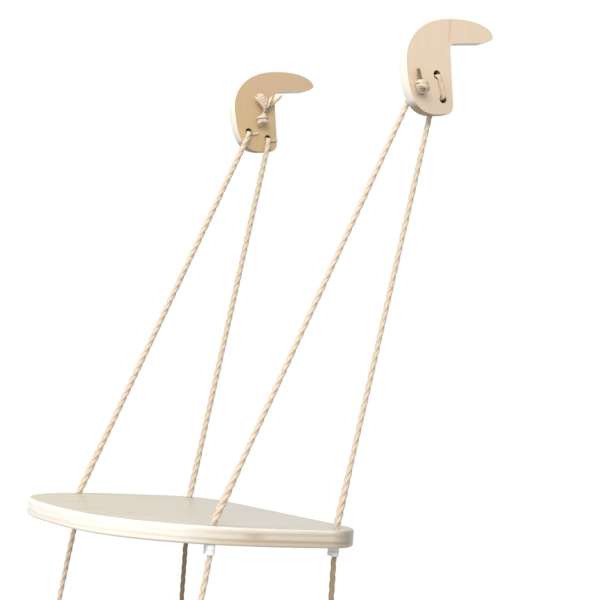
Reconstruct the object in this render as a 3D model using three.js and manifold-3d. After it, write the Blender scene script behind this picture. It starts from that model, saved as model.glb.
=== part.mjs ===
// A shelf board that hangs on four ropes from two wooden hooks.
// Millimetres. X runs along the rail that the hooks hang on, +Y points to the rail, +Z is up.
// The origin lies midway between the inner corners of the two hooks.

import * as THREE from 'three';
import { mergeVertices } from 'three/addons/utils/BufferGeometryUtils.js';
import Module from 'manifold-3d';

const wasm = await Module();
wasm.setup();

// Shared clearances
const gap = 0.3;
const flexGap = 0.8;
const openFlexGap = 0.95;
const cutOverrun = 1;

// Hooks, measured upright from the inner corner where a hook sits on the rail
const hookSpacing = 352.5;
const hookThickness = 12.5;
const hookTilt = THREE.MathUtils.degToRad(13);
const armReach = 63.7;
const noseRun = 15.7;
const noseRise = 6.2;
const crownHeight = 27;
const crownOffset = 4;
const bodyWidth = 62.6;
const bodyDrop = 76;
const girthDrop = 24;
const heelOffset = 20;
const innerFillet = 7;
const bodyTaper = 3.4;
const footRadius = 11;
const hookEase = 1;
const hookHoleDiameter = 9;
const frontHoleInset = 17.8;
const frontHoleRise = 26.9;
const backHoleSetback = 17.1;
const backHoleRise = 16.9;
const endHoleSetback = 22.2;
const endHoleDrop = 33;

// Board, a D with a full round front and a straight back edge
const boardWidth = 353;
const boardDepth = 284.5;
const boardThickness = 18;
const boardCornerRadius = 54;
const boardEase = 2.5;
const boardDrop = 524.6;
const boardSetback = 44.2;
const boardHoleDiameter = 8;
const holeSideInset = 7.4;
const holeFrontInset = 102.1;
const holeBackInset = 34.5;

// Ropes
const ropeDiameter = 6;
const knotRopeDiameter = 5.5;
const strandDiameter = 2.6;
const turnOffset = 5;
const pivotClearance = 8;
const footRise = 7.5;
const seatDepth = 1.8;
const lowerLength = 130;
const frontDriftShare = -0.12;
const backDriftShare = 0.02;

// Cable ties
const tieWidth = 4.8;
const tieWall = 1.4;
const tieHeadLength = 4.4;
const tieHeadWidth = 5.4;
const tieTailLength = 3;
const tieTailWall = 1.3;

// How full each rounded stretch is: 2 is an ellipse, more is squarer, less is straighter
const noseUnderPower = 1.4;
const nosePower = 2.05;
const crownPower = 2.25;
const heelPower = 2.85;
const boardFrontPower = 2.8;
const boardCornerPower = 2;

// Facets
const quarterSteps = 9;
const boardQuarterSteps = 20;
const cornerSteps = 5;
const easeSegments = 1;
const boardEaseSegments = 2;
const holeSides = 14;
const ropeSides = 10;
const knotSides = 8;
const strandSides = 6;
const knotStepShare = 0.5;
const tieSides = 20;

// Routes in rope diameters, chosen by hand. A stopper knot sits on a plate at x = 0, with its
// standing part coming out of the hole along +x and its end going up through its turns.
const frontKnotRoute = [
  [0.15, 0.03, 0.1], [0.58, 0.06, 0.32], [1.07, 0.09, 0.56], [1.58, 0.07, 0.78],
  [2.05, -0.13, 0.97], [2.34, -0.57, 1.09], [2.36, -1.1, 1.17], [2.07, -1.57, 1.19],
  [1.59, -1.81, 1.15], [1.06, -1.76, 1.03], [0.68, -1.46, 0.8], [0.56, -1.15, 0.37],
  [0.55, -0.94, -0.15], [0.63, -0.65, -0.6], [0.84, -0.19, -0.78], [1.17, 0.2, -0.62],
  [1.61, 0.3, -0.31], [2.08, 0.14, -0.09], [2.46, -0.23, 0.05], [2.61, -0.75, 0.11],
  [2.51, -1.29, 0.16], [2.23, -1.75, 0.19], [1.82, -1.92, -0.09], [1.58, -1.61, -0.44],
  [1.58, -1.08, -0.39], [1.62, -0.83, 0.08], [1.54, -0.87, 0.62], [1.45, -0.9, 1.16],
  [1.42, -1.05, 1.71], [1.36, -1.3, 2.26], [1.28, -1.5, 2.8], [1.18, -1.7, 3.5],
];
const backKnotRoute = [
  [0.15, 0.03, 0], [0.58, 0.15, -0.01], [1.12, 0.26, -0.01], [1.66, 0.23, -0.02],
  [2.1, -0.07, -0.03], [2.32, -0.56, -0.04], [2.23, -1.09, -0.09], [1.88, -1.5, -0.14],
  [1.37, -1.64, -0.23], [0.88, -1.49, -0.37], [0.58, -1.1, -0.58], [0.54, -0.6, -0.8],
  [0.7, -0.11, -0.96], [1.08, 0.26, -1.06], [1.6, 0.4, -1.1], [2.12, 0.25, -1.1],
  [2.48, -0.15, -1.1], [2.56, -0.68, -1.11], [2.36, -1.18, -1.13], [1.99, -1.57, -1.18],
  [1.54, -1.66, -1.44], [1.29, -1.3, -1.7], [1.34, -0.8, -1.58], [1.5, -0.61, -1.11],
  [1.47, -0.64, -0.57], [1.39, -0.67, -0.03], [1.45, -0.58, 0.5], [1.52, -0.42, 1.02],
];
// The unlaid strands of a back rope's end, on from the last two places of its knot
const strandRoutes = [
  [[1.6, -0.6, 1.7], [1.62, -0.95, 2.5], [1.62, -1.3, 3.6], [1.55, -1.8, 4.9]],
  [[1.7, -0.25, 1.7], [1.75, 0.05, 2.5], [1.75, 0.5, 3.6], [1.65, 1.1, 4.7]],
  [[1.45, 0, 1.6], [1.4, 0.7, 2.4], [1.4, 2, 3.5], [1.3, 3.8, 4.9]],
];
// The end knot lies on a rope that runs along +x
const endKnotRoute = [
  [0.2, 0, 0], [0.55, 0.03, -0.06], [1.01, 0.15, -0.36], [1.41, 0.07, -0.73], [1.82, -0.25, -0.91],
  [2.19, -0.65, -0.8], [2.42, -0.99, -0.44], [2.49, -1.15, 0.09], [2.39, -1.06, 0.62],
  [2.14, -0.76, 1.02], [1.81, -0.34, 1.16], [1.48, 0.09, 1.03], [1.18, 0.49, 0.79],
  [0.87, 0.86, 0.51], [0.56, 1.05, 0.1], [0.31, 0.97, -0.39], [0.2, 0.64, -0.81],
  [0.24, 0.14, -1.04], [0.44, -0.38, -1.03], [0.78, -0.75, -0.79], [1.15, -0.86, -0.4],
  [1.52, -0.68, -0.03], [1.91, -0.32, 0.12], [2.43, -0.13, 0.15], [3.1, -0.05, 0.1],
];

// Places that several pieces share
const innerFaceX = (hookSpacing - hookThickness) / 2;
const outerFaceX = (hookSpacing + hookThickness) / 2;
const boardTop = -boardDrop;
const boardBack = -boardSetback;
const boardFront = boardBack - boardDepth;
const boardShoulder = boardBack - boardCornerRadius;
const boardFrontRun = boardDepth - boardCornerRadius;
const frontHoleY = boardFront + holeFrontInset;
const backHoleY = boardBack - holeBackInset;
const holeX = boardHalfWidthAt(frontHoleY) - holeSideInset;
const ropeX = innerFaceX - turnOffset;
const frontHoleSetback = bodyWidth - frontHoleInset;
const frontHoleDrop = bodyDrop - frontHoleRise;
const backHoleDrop = bodyDrop - backHoleRise;
const pivotDrop = bodyDrop + pivotClearance;

const materials = {
  hookWood: new THREE.MeshStandardMaterial({ color: 0xe3cba6, roughness: 0.55, metalness: 0 }),
  boardWood: new THREE.MeshStandardMaterial({ color: 0xd8d0bc, roughness: 0.35, metalness: 0 }),
  rope: new THREE.MeshStandardMaterial({ color: 0xe2cfad, roughness: 0.9, metalness: 0 }),
  nylon: new THREE.MeshStandardMaterial({ color: 0xf2f2ee, roughness: 0.4, metalness: 0 }),
};

const sides = [{ name: 'far', sign: -1 }, { name: 'near', sign: 1 }];
const rows = [
  { name: 'front', hole: hookPoint(frontHoleSetback, frontHoleDrop), footY: frontHoleY,
    drift: frontDriftShare, footGap: flexGap },
  { name: 'back', hole: hookPoint(backHoleSetback, backHoleDrop), footY: backHoleY,
    drift: backDriftShare, footGap: openFlexGap },
];

const shelf = new THREE.Group();

// Where a point of the upright hook lies once the hook is tilted
function hookPoint(setback, drop) {
  const point = new THREE.Vector3(0, -setback, -drop);
  return point.applyAxisAngle(new THREE.Vector3(1, 0, 0), hookTilt);
}

function toSolid(geometry) {
  const bare = geometry.index ? geometry.toNonIndexed() : geometry.clone();
  bare.deleteAttribute('normal');
  bare.deleteAttribute('uv');
  const merged = mergeVertices(bare);
  return new wasm.Manifold(new wasm.Mesh({
    numProp: 3,
    vertProperties: new Float32Array(merged.attributes.position.array),
    triVerts: new Uint32Array(merged.index.array),
  }));
}

function toGeometry(solid) {
  const mesh = solid.getMesh();
  const geometry = new THREE.BufferGeometry();
  geometry.setAttribute('position', new THREE.BufferAttribute(mesh.vertProperties, mesh.numProp));
  geometry.setIndex(new THREE.BufferAttribute(mesh.triVerts, 1));
  geometry.computeVertexNormals();
  return geometry;
}

function addMesh(name, geometry, material) {
  const mesh = new THREE.Mesh(geometry, material);
  mesh.name = name;
  shelf.add(mesh);
  return mesh;
}

// A quarter of a rounded outline about a centre, from one level or upright tangent to the next
function quarter(centreX, centreY, halfX, halfY, power, startQuarter, steps) {
  const points = [];
  for (let i = 0; i <= steps; i += 1) {
    const angle = (startQuarter + i / steps) * Math.PI / 2;
    const across = Math.cos(angle);
    const up = Math.sin(angle);
    points.push(new THREE.Vector2(
      centreX + halfX * Math.sign(across) * Math.abs(across) ** (2 / power),
      centreY + halfY * Math.sign(up) * Math.abs(up) ** (2 / power),
    ));
  }
  return points;
}

// Points that are the same to within rounding would make slivers
function withoutRepeats(points) {
  return points.filter((point, i) => {
    const before = points[(i + points.length - 1) % points.length];
    return point.distanceTo(before) > gap;
  });
}

// Turns an outline in X and Y, drawn out along Z, so that it lies in Y and Z and is thick along X
function standAcross(geometry) {
  const basis = new THREE.Matrix4().makeBasis(
    new THREE.Vector3(0, 1, 0), new THREE.Vector3(0, 0, 1), new THREE.Vector3(1, 0, 0));
  return geometry.applyMatrix4(basis);
}

// A plate with eased edges, centred on Z = 0, whose outline keeps its full size
function easedPlate(points, thickness, ease, segments) {
  const geometry = new THREE.ExtrudeGeometry(new THREE.Shape(points), {
    depth: thickness - 2 * ease,
    bevelEnabled: true,
    bevelThickness: ease,
    bevelSize: ease,
    bevelOffset: -ease,
    bevelSegments: segments,
  });
  return geometry.translate(0, 0, ease - thickness / 2);
}

function drill(solid, diameter, thickness, places) {
  let result = solid;
  for (const place of places) {
    const bit = new THREE.CylinderGeometry(
      diameter / 2, diameter / 2, thickness + 2 * cutOverrun, holeSides);
    bit.rotateX(Math.PI / 2);
    bit.translate(place.x, place.y, 0);
    result = result.subtract(toSolid(bit));
  }
  return result;
}

// Outline of a hook from the underside of its arm round the nose, crown, front and foot
function hookOutline() {
  const points = [
    ...quarter(armReach - noseRun, noseRise, noseRun, noseRise, noseUnderPower, 3, quarterSteps),
    ...quarter(crownOffset, noseRise, armReach - crownOffset, crownHeight - noseRise,
      nosePower, 0, quarterSteps),
    ...quarter(crownOffset, -girthDrop, bodyWidth + crownOffset, crownHeight + girthDrop,
      crownPower, 1, quarterSteps),
    ...quarter(-heelOffset, -girthDrop, bodyWidth - heelOffset, bodyDrop - girthDrop,
      heelPower, 2, quarterSteps),
    ...quarter(-bodyTaper - footRadius, footRadius - bodyDrop, footRadius, footRadius, 2, 3,
      cornerSteps),
    ...quarter(innerFillet, -innerFillet, innerFillet, innerFillet, 2, 1, cornerSteps).reverse(),
  ];
  return withoutRepeats(points);
}

function makeHook() {
  const plate = toSolid(easedPlate(hookOutline(), hookThickness, hookEase, easeSegments));
  const holes = [
    new THREE.Vector2(-frontHoleSetback, -frontHoleDrop),
    new THREE.Vector2(-backHoleSetback, -backHoleDrop),
    new THREE.Vector2(-endHoleSetback, -endHoleDrop),
  ];
  return standAcross(toGeometry(drill(plate, hookHoleDiameter, hookThickness, holes)));
}

// Half the board's width at a place along its rounded front
function boardHalfWidthAt(y) {
  const share = (boardShoulder - y) / boardFrontRun;
  return boardWidth / 2 * (1 - share ** boardFrontPower) ** (1 / boardFrontPower);
}

// Outline of the board: a squared ellipse round the front, two back corners, a straight back
function boardOutline() {
  const half = boardWidth / 2;
  const cornerX = half - boardCornerRadius;
  const points = [
    ...quarter(0, boardShoulder, half, boardFrontRun, boardFrontPower, 2, boardQuarterSteps),
    ...quarter(0, boardShoulder, half, boardFrontRun, boardFrontPower, 3, boardQuarterSteps),
    ...quarter(cornerX, boardShoulder, boardCornerRadius, boardCornerRadius,
      boardCornerPower, 0, quarterSteps),
    ...quarter(-cornerX, boardShoulder, boardCornerRadius, boardCornerRadius,
      boardCornerPower, 1, quarterSteps),
  ];
  return withoutRepeats(points);
}

function makeBoard() {
  const slab = easedPlate(boardOutline(), boardThickness, boardEase, boardEaseSegments);
  const holes = [];
  for (const side of sides) {
    for (const row of rows) {
      holes.push(new THREE.Vector2(side.sign * holeX, row.footY));
    }
  }
  const drilled = drill(toSolid(slab), boardHoleDiameter, boardThickness, holes);
  return toGeometry(drilled).translate(0, 0, boardTop - boardThickness / 2);
}

// A round tube along a curve, closed at both ends
function makeTube(curve, diameter, roundSides, steps) {
  const section = new THREE.Shape();
  for (let i = 0; i < roundSides; i += 1) {
    const angle = 2 * Math.PI * i / roundSides;
    const point = [diameter / 2 * Math.cos(angle), diameter / 2 * Math.sin(angle)];
    if (i === 0) section.moveTo(...point);
    else section.lineTo(...point);
  }
  section.closePath();
  return new THREE.ExtrudeGeometry(section, {
    steps, extrudePath: curve, bevelEnabled: false, curveSegments: 1,
  });
}

function smoothCurve(points) {
  return new THREE.CatmullRomCurve3(points, false, 'centripetal');
}

// Points on a round corner that leaves one straight run and joins the next
function cornerPoints(start, corner, end) {
  const curve = new THREE.QuadraticBezierCurve3(start, corner, end);
  return curve.getPoints(cornerSteps);
}

// The point of a straight rope at a given height
function atHeight(top, bottom, z) {
  return top.clone().lerp(bottom, (z - top.z) / (bottom.z - top.z));
}

// A knot's route in millimetres, facing +X or, turned half round, -X
function knotPoints(route, origin, facing) {
  return route.map(([x, y, z]) => new THREE.Vector3(
    origin.x + facing * x * ropeDiameter,
    origin.y + facing * y * ropeDiameter,
    origin.z + z * ropeDiameter,
  ));
}

function knotSteps(points) {
  return Math.round(smoothCurve(points).getLength() / (knotStepShare * ropeDiameter));
}

// Front ropes: the stopper knot lies on a hook's outer face, with its shank through the plate
function makeFrontKnot(side) {
  const origin = rows[0].hole.clone().setX(side.sign * outerFaceX);
  const shank = origin.clone().setX(side.sign * (innerFaceX + gap));
  const points = [
    shank, shank.clone().lerp(origin, 1 / 2), origin.clone(),
    ...knotPoints(frontKnotRoute, origin, side.sign),
  ];
  return makeTube(smoothCurve(points), knotRopeDiameter, knotSides, knotSteps(points));
}

// Back ropes: the stopper knot lies on a hook's inner face and its end is unlaid in three
function makeBackKnot(side) {
  const origin = hookPoint(endHoleSetback, endHoleDrop).setX(side.sign * innerFaceX);
  const knot = knotPoints(backKnotRoute, origin, -side.sign);
  let solid = toSolid(makeTube(smoothCurve(knot), knotRopeDiameter, knotSides, knotSteps(knot)));
  const root = knot.at(-2);
  for (const route of strandRoutes) {
    const points = [root, knot.at(-1), ...knotPoints(route, origin, -side.sign)];
    const strand = makeTube(smoothCurve(points), strandDiameter, strandSides, 2 * cornerSteps);
    solid = solid.add(toSolid(strand));
  }
  return toGeometry(solid);
}

// Back ropes: from the knot out through the plate, down its outer face and in again
function makeWrap(side) {
  const wrapX = side.sign * (outerFaceX + turnOffset);
  const upper = hookPoint(endHoleSetback, endHoleDrop).setX(wrapX);
  const lower = hookPoint(backHoleSetback, backHoleDrop).setX(wrapX);
  const reach = turnOffset / upper.distanceTo(lower);
  const points = [
    upper.clone().setX(side.sign * innerFaceX),
    ...cornerPoints(upper.clone().setX(side.sign * outerFaceX), upper,
      upper.clone().lerp(lower, reach)),
    ...cornerPoints(lower.clone().lerp(upper, reach), lower,
      lower.clone().setX(side.sign * outerFaceX)),
    lower.clone().setX(side.sign * (innerFaceX + gap)),
  ];
  return makeTube(smoothCurve(points), ropeDiameter, ropeSides, 4 * cornerSteps);
}

// The ends of a straight rope: its turn at the hook's hole and its foot at the board's hole
function ropeLine(side, row) {
  return {
    top: row.hole.clone().setX(side.sign * ropeX),
    foot: new THREE.Vector3(side.sign * holeX, row.footY, boardTop),
  };
}

// Where a rope comes out of a hook it turns down and lies along the hook's inner face
function makeBend(side, row) {
  const { top, foot } = ropeLine(side, row);
  const out = top.clone().setX(side.sign * (innerFaceX - gap));
  const down = top.clone().lerp(foot, turnOffset / top.distanceTo(foot));
  const end = atHeight(top, foot, -pivotDrop + flexGap / 2);
  const points = [...cornerPoints(out, top, down), down.clone().lerp(end, 1 / 2), end];
  return makeTube(smoothCurve(points), ropeDiameter, ropeSides, 2 * cornerSteps);
}

function makeRope(side, row) {
  const { top, foot } = ropeLine(side, row);
  const start = atHeight(top, foot, -pivotDrop - flexGap / 2);
  const end = atHeight(top, foot, boardTop + footRise + row.footGap / 2);
  return makeTube(new THREE.LineCurve3(start, end), ropeDiameter, ropeSides, 1);
}

// The last of a rope over the board turns upright as it goes into its hole
function makeFoot(side, row) {
  const { top, foot } = ropeLine(side, row);
  const start = atHeight(top, foot, boardTop + footRise - row.footGap / 2);
  const seat = foot.clone().setZ(boardTop - seatDepth + gap / 2);
  const curve = new THREE.QuadraticBezierCurve3(start, foot, seat);
  return makeTube(curve, ropeDiameter, ropeSides, cornerSteps);
}

function lowerEnds(side, row) {
  const start = new THREE.Vector3(side.sign * holeX, row.footY, boardTop - seatDepth - gap / 2);
  const held = start.clone().setZ(boardTop - boardThickness - 2 * (tieWidth + gap));
  const end = held.clone().setZ(boardTop - lowerLength);
  end.y += row.drift * (held.z - end.z);
  return { start, held, end };
}

function makeLower(side, row) {
  const { start, held, end } = lowerEnds(side, row);
  const points = [
    start, start.clone().lerp(held, 1 / 2), held,
    held.clone().lerp(end, 1 / 2), end,
  ];
  return makeTube(smoothCurve(points), ropeDiameter, ropeSides, 2 * cornerSteps);
}

function makeEndKnot(side, row) {
  const { held, end } = lowerEnds(side, row);
  const along = end.clone().sub(held).normalize();
  const across = new THREE.Vector3(1, 0, 0);
  const third = new THREE.Vector3().crossVectors(along, across);
  const start = end.clone().addScaledVector(along, gap);
  const points = [start];
  for (const [x, y, z] of endKnotRoute) {
    points.push(start.clone()
      .addScaledVector(along, x * ropeDiameter)
      .addScaledVector(across, y * ropeDiameter)
      .addScaledVector(third, z * ropeDiameter));
  }
  return makeTube(smoothCurve(points), knotRopeDiameter, knotSides, knotSteps(points));
}

// A tie is a closed strap round the rope with its head and the cut end of its tail to one side
function makeTie() {
  const inner = ropeDiameter / 2 + gap;
  const outer = inner + tieWall;
  const ring = new THREE.Shape();
  ring.absarc(0, 0, outer, 0, 2 * Math.PI);
  const bore = new THREE.Path();
  bore.absarc(0, 0, inner, 0, 2 * Math.PI, true);
  ring.holes.push(bore);
  const strap = new THREE.ExtrudeGeometry(ring, {
    depth: tieWidth, bevelEnabled: false, curveSegments: tieSides,
  }).translate(0, 0, -tieWidth / 2);
  const headStart = inner + tieWall / 2;
  const head = new THREE.BoxGeometry(tieHeadLength, tieHeadWidth, tieWidth);
  head.translate(headStart + tieHeadLength / 2, 0, 0);
  const tail = new THREE.BoxGeometry(tieTailWall, tieHeadWidth / 2 + tieTailLength, tieWidth - 2 * gap);
  tail.translate(headStart + tieHeadLength / 2, -(tieHeadWidth / 2 + tieTailLength) / 2, 0);
  return toGeometry(toSolid(strap).add(toSolid(head)).add(toSolid(tail)));
}

for (const side of sides) {
  const hook = addMesh(`hook_${side.name}`, makeHook(), materials.hookWood);
  hook.position.x = side.sign * hookSpacing / 2;
  hook.rotation.x = hookTilt;
  addMesh(`knot_front_${side.name}`, makeFrontKnot(side), materials.rope);
  addMesh(`knot_back_${side.name}`, makeBackKnot(side), materials.rope);
  addMesh(`wrap_${side.name}`, makeWrap(side), materials.rope);
}

addMesh('shelf_board', makeBoard(), materials.boardWood);

for (const row of rows) {
  for (const side of sides) {
    const place = `${row.name}_${side.name}`;
    addMesh(`bend_${place}`, makeBend(side, row), materials.rope);
    addMesh(`rope_${place}`, makeRope(side, row), materials.rope);
    addMesh(`foot_${place}`, makeFoot(side, row), materials.rope);
    addMesh(`lower_${place}`, makeLower(side, row), materials.rope);
    addMesh(`end_knot_${place}`, makeEndKnot(side, row), materials.rope);
    for (const [index, level] of ['upper', 'lower'].entries()) {
      const tie = addMesh(`tie_${level}_${place}`, makeTie(), materials.nylon);
      const below = boardThickness + gap + tieWidth / 2 + index * (tieWidth + gap);
      tie.position.set(side.sign * holeX, row.footY, boardTop - below);
      tie.rotation.z = side.sign > 0 ? Math.PI : 0;
    }
  }
}

export default shelf;
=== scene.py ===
"""Looks of a shelf board that hangs on laid ropes from two plywood hooks.

Everything is in metres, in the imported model's frame: X runs along the rail, +Y points
to the rail and +Z is up.
"""

import math

import bmesh
import bpy
from bpy.props import FloatProperty, FloatVectorProperty, PointerProperty
from mathutils import Matrix, Vector


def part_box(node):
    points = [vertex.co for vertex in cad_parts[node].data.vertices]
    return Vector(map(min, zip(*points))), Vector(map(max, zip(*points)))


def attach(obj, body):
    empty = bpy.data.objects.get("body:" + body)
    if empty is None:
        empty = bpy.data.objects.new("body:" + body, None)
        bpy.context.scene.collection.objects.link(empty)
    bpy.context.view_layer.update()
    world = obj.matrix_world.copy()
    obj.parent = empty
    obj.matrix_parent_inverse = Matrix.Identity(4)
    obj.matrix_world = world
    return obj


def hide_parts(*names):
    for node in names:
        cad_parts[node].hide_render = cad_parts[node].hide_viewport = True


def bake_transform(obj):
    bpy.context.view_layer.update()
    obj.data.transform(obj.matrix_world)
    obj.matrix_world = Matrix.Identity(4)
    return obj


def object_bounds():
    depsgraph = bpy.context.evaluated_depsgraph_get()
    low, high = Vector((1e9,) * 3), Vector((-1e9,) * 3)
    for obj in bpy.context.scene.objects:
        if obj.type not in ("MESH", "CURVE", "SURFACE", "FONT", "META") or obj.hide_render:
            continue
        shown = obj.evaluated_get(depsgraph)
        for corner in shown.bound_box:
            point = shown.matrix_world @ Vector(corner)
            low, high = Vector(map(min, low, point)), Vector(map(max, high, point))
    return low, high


bl_info = {
    "name": "Hanging Rope Shelf",
    "version": (1, 0, 0),
    "blender": (4, 5, 0),
    "location": "View3D > Sidebar > Rope Shelf",
    "description": "Builds the board, hooks, laid ropes, knots and cable ties of a hanging shelf",
    "category": "Object",
}

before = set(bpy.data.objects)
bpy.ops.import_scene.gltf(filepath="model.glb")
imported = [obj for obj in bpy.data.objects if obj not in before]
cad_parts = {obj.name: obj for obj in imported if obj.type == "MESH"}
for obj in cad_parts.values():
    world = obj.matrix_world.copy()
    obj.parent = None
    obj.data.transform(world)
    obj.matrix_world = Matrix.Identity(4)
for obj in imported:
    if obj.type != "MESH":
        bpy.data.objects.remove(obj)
cad_low, cad_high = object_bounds()

MM = 0.001

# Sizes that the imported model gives
HOOK_NEAR_LOW, HOOK_NEAR_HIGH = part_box("hook_near")
BOARD_LOW, BOARD_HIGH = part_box("shelf_board")
INNER_FACE = HOOK_NEAR_LOW.x
OUTER_FACE = HOOK_NEAR_HIGH.x
BOARD_TOP = BOARD_HIGH.z
BOARD_THICKNESS = BOARD_HIGH.z - BOARD_LOW.z

# The hooks' outline, upright, from the inner corner
HOOK_TILT = math.radians(13)
ARM_REACH = 63.7 * MM
NOSE_RUN = 15.7 * MM
NOSE_RISE = 6.2 * MM
CROWN_HEIGHT = 27 * MM
CROWN_OFFSET = 4 * MM
BODY_WIDTH = 62.6 * MM
BODY_DROP = 76 * MM
GIRTH_DROP = 24 * MM
HEEL_OFFSET = 20 * MM
INNER_FILLET = 7 * MM
BODY_TAPER = 3.4 * MM
FOOT_RADIUS = 11 * MM
HOOK_EASE = 1.2 * MM

# How square each curve of an outline is: 2 is an ellipse, and more is squarer
NOSE_POWER = 1.4
CROWN_POWER = 2.05
GIRTH_POWER = 2.25
HEEL_POWER = 2.85
BOARD_POWER = 2.8
ROUND = 2

# Holes in the hooks: their width, and their places as (setback, drop) from the inner corner
HOOK_HOLE_WIDTH = 9.6 * MM
HOOK_HOLES = {
    "front": (44.8 * MM, 49.1 * MM),
    "back": (17.1 * MM, 59.1 * MM),
    "end": (22.2 * MM, 33 * MM),
}

# The board's outline and holes
BOARD_CORNER = 54 * MM
BOARD_EASE = 2.5 * MM
BOARD_HOLE_WIDTH = 8 * MM
BOARD_HOLE_X = 156 * MM
BOARD_HOLE_Y = {"front": -226.6 * MM, "back": -78.7 * MM}

# The hooks' wood: heights between which painted shade darkens it lower down and at the
# heel, and a growth ring
INNER_SHADE_CHANGE = (-8 * MM, -36 * MM)
OUTER_SHADE_CHANGE = (-34 * MM, -62 * MM)
HEEL_SHADE_CHANGE = (-70 * MM, -76 * MM)
RING_Y = -1.5 * MM
RING_HALF = 3 * MM
RING_START = (-2 * MM, 5 * MM)
RING_WOOD = (0.76, 0.55, 0.37)

# The board's wood: where its edge changes, and where painted shade darkens its rear
# edge and a painted reflection greys its veneer; a patch in its plies and a speck
SIDE_CHANGE = (150 * MM, 173 * MM)
REAR_SHADE_CHANGE = (-98 * MM, -75 * MM)
REFLECTION_SLOPE = 0.53
REFLECTION_CHANGE = (-300 * MM, -120 * MM)
PATCH_Y = -187 * MM
PATCH_HALF = 16 * MM
PATCH_DEPTH_SHARE = 0.47
PATCH_FADE_SHARES = (0.08, 0.26)
SPECK_X = 53.4 * MM
SPECK_Y = -262.2 * MM
SPECK_FADE = (1.2 * MM, 3.4 * MM)
SPECK_STRETCH_SHARE = 0.4

# How faces are told apart: by how squarely they look along an axis, and by their
# distance from a hole's wall
FLAT_NORMAL = 0.98
WALL_NORMAL = 0.7
WALL_MARGIN = 0.2 * MM

# Where ropes turn: off the hooks' inner and outer faces, low in their holes, and over
# and in the board's holes
TURN_OFFSET = 4.2 * MM
WRAP_OFFSET = 2.8 * MM
HOLE_PLAY = 1.7 * MM
FOOT_LEAD = 8 * MM
FOOT_DROP = 3 * MM

# The ropes' free ends: how far under the board the ties keep them straight, how far
# below the board's top the end knot begins, and how far they lean to the rear as they fall
HELD_DROP = 10 * MM
FREE_LENGTH = 130 * MM
FREE_LEAN_SHARES = {"front": -0.12, "back": 0.02}

# How a front knot is flattened towards a level and moved aside, in rope diameters
KNOT_SQUASH_SHARE = 0.8
KNOT_SHIFT = 0.45
KNOT_LEVEL = 0.2

# The ropes' thickness as shares of their diameter
KNOT_SHARE = 0.88
WRAP_SHARE = 0.82
TAIL_SHARE = 0.66
NEAR_BODY_SHARE = 1.0
FAR_BODY_SHARE = 1.18
FOOT_SHARE = 1.28

# Where a rope's thickness changes: heights over the board, the distance from its end at
# the hook for its tail, and distances from where it enters the hook for the rest
FOOT_FADE = (70 * MM, 25 * MM)
FOOT_RISE = (1 * MM, 7 * MM)
TAIL_CHANGE = (11 * MM, 17 * MM)
FRONT_BODY_CHANGE = (8 * MM, 20 * MM)
WRAP_CHANGE = (0, 10 * MM)
BACK_BODY_CHANGE = (42 * MM, 56 * MM)

# Slight unevenness of a rope, as waves of (share of its diameter, length of a radian)
SLOW_WAVE = (0.02, 17 * MM)
QUICK_WAVE = (0.015, 6.1 * MM)

# Painted shade and painted light on the fibres, and where they change: the distance from
# the rope's end at the hook, for the tail, and the depth below the board's top, for the free ends
BACK_FREE_SHADE_SHARE = 0.6
FAR_FREE_LIGHT_SHARE = 0.45
STRAND_LIGHT_SHARE = 0.75
TAIL_SHADE_CHANGE = (17 * MM, 12 * MM)
FREE_CHANGE = (8 * MM, 24 * MM)

# Unlaid strands, with places as shares of a strand's length; painted light pales them
# towards their ends and painted shade darkens them near the root
STRAND_LAY = 5
TIP_NARROWING_SHARE = 0.7
SWELL_SHARES = (0.1, 0.6)
TIP_SHARES = (0.85, 1)
PAINTED_LIGHT_SHARES = (0.35, 0.7)
PAINTED_SHADE_SHARES = (0.75, 0.3)
LOOSE_SWELL_SHARE = 0.3

# A laid rope's outline: points round it, and its lobes as shares of its radius
ROPE_POINTS = 24
STRAND_POINTS = 12
LOBE_OFFSET_SHARE = 0.42
LOBE_SHARE = 0.58

# Where a rope is cut into parts: in the hook's hole, in the board's hole and between them
HOLE_ENTRY = 2 * MM
SEAT_DEPTH = 2.2 * MM
MIDDLE_Z = -300 * MM

# A height below the turn at the hook, at which a point of the rope is found, and the up
# direction
TURN_Z = -84 * MM
UP = Vector((0, 0, 1))

# Routes in rope diameters: the stopper knots, on a plate at x = 0
FRONT_KNOT_ROUTE = [
    (0.15, 0.03, 0.1), (0.58, 0.06, 0.32), (1.07, 0.09, 0.56), (1.58, 0.07, 0.78),
    (2.05, -0.13, 0.97), (2.34, -0.57, 1.09), (2.36, -1.1, 1.17), (2.07, -1.57, 1.19),
    (1.59, -1.81, 1.15), (1.06, -1.76, 1.03), (0.68, -1.46, 0.8), (0.56, -1.15, 0.37),
    (0.55, -0.94, -0.15), (0.63, -0.65, -0.6), (0.84, -0.19, -0.78), (1.17, 0.2, -0.62),
    (1.61, 0.3, -0.31), (2.08, 0.14, -0.09), (2.46, -0.23, 0.05), (2.61, -0.75, 0.11),
    (2.51, -1.29, 0.16), (2.23, -1.75, 0.19), (1.82, -1.92, -0.09), (1.58, -1.61, -0.44),
    (1.58, -1.08, -0.39), (1.62, -0.83, 0.08), (1.54, -0.87, 0.62), (1.45, -0.9, 1.16),
    (1.42, -1.05, 1.71), (1.33, -1.35, 2.65), (1.22, -1.63, 3.65), (1.1, -1.87, 4.66),
]
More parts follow.
